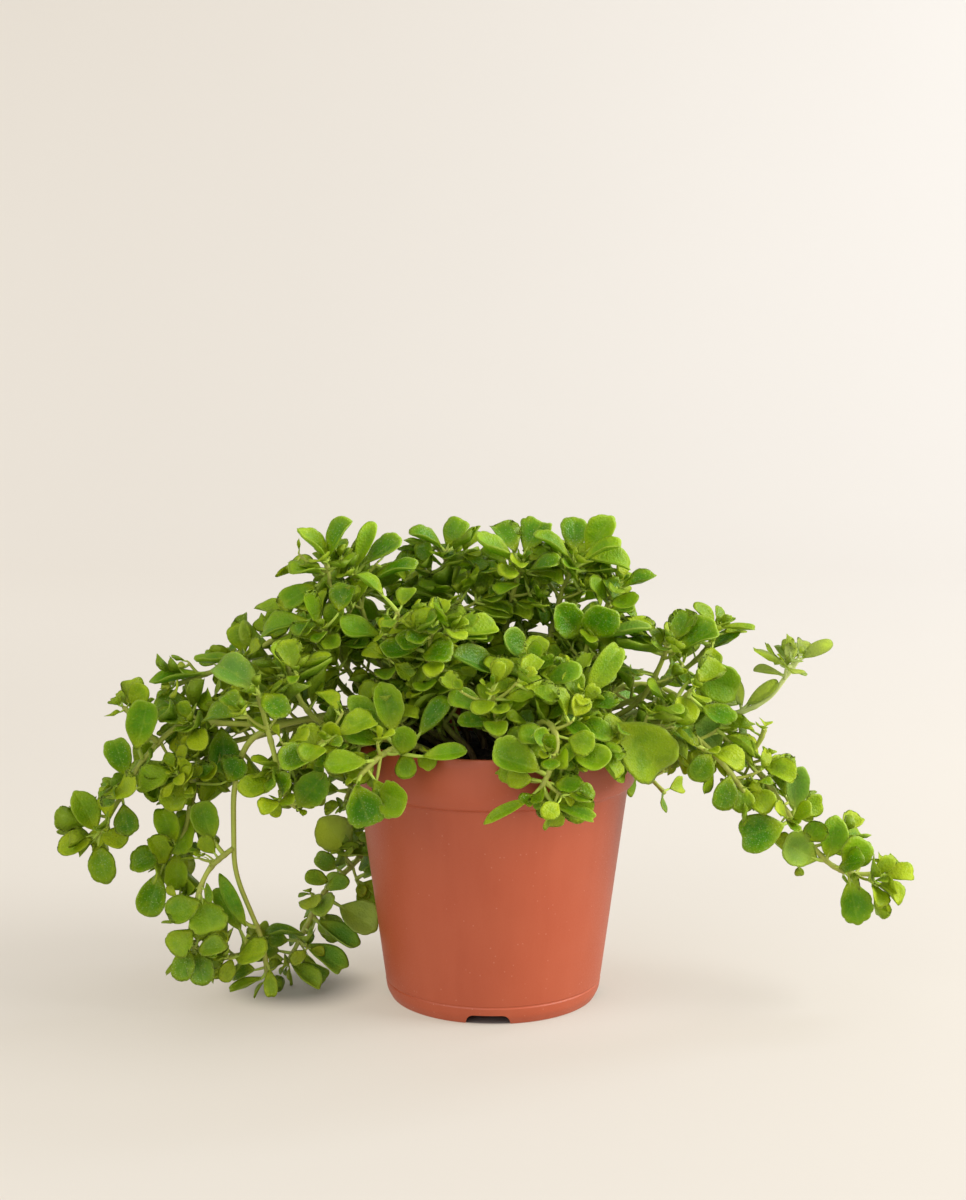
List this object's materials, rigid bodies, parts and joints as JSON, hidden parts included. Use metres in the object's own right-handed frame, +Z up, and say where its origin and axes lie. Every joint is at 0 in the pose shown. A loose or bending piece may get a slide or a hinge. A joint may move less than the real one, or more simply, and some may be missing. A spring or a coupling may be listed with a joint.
{
  "type": "trailing plant in a nursery pot",
  "caption": "Small-leaved trailing pilea with a leafy mound and side cascades, rooted in potting soil in a plain round plastic nursery pot with a foot ring and drain notches.",
  "frame": {"origin": "centre of the pot's foot ring, on the surface that the pot stands on", "axes": "+Z up along the pot's axis, -Y towards the viewer, +X to the viewer's right along the spread of the cascades"},
  "size_m": [0.3052, 0.1486, 0.1762],
  "materials": {
    "terracotta_plastic": "satin moulded terracotta-orange plastic with a fine grain",
    "potting_mix": "dark moist peat and bark crumbs",
    "foliage": "fleshy fresh-green leaves with a dull pebbled gloss on yellow-green stems"
  },
  "bodies": {
    "root": {"nursery_pot": "terracotta_plastic", "potting_soil": "potting_mix", "left_outer_trail": "foliage", "left_middle_trail": "foliage", "left_long_trail": "foliage", "left_behind_trail": "foliage", "left_upper_stem": "foliage", "left_front_trail": "foliage", "left_high_trail": "foliage", "left_rim_stem": "foliage", "mound_left_tall": "foliage", "mound_left_back": "foliage", "mound_left_inner": "foliage", "mound_centre_rosette": "foliage", "mound_middle": "foliage", "mound_top_left": "foliage", "mound_top_centre": "foliage", "mound_top_right": "foliage", "mound_right_upper": "foliage", "mound_right_middle": "foliage", "mound_back_left": "foliage", "mound_back_centre": "foliage", "mound_back_right": "foliage", "front_centre_rosette": "foliage", "mound_front_middle": "foliage", "front_hanging_stem": "foliage", "front_right_leaves": "foliage", "front_right_rosette": "foliage", "right_upper_stem": "foliage", "right_far_stem": "foliage", "right_oblong_leaf_stem": "foliage", "right_reaching_stem": "foliage", "right_long_trail": "foliage", "right_second_trail": "foliage", "right_round_leaf_stem": "foliage", "back_left_trail": "foliage", "back_centre_trail": "foliage", "back_right_trail": "foliage", "back_far_right_stem": "foliage"}
  },
  "joints": []
}
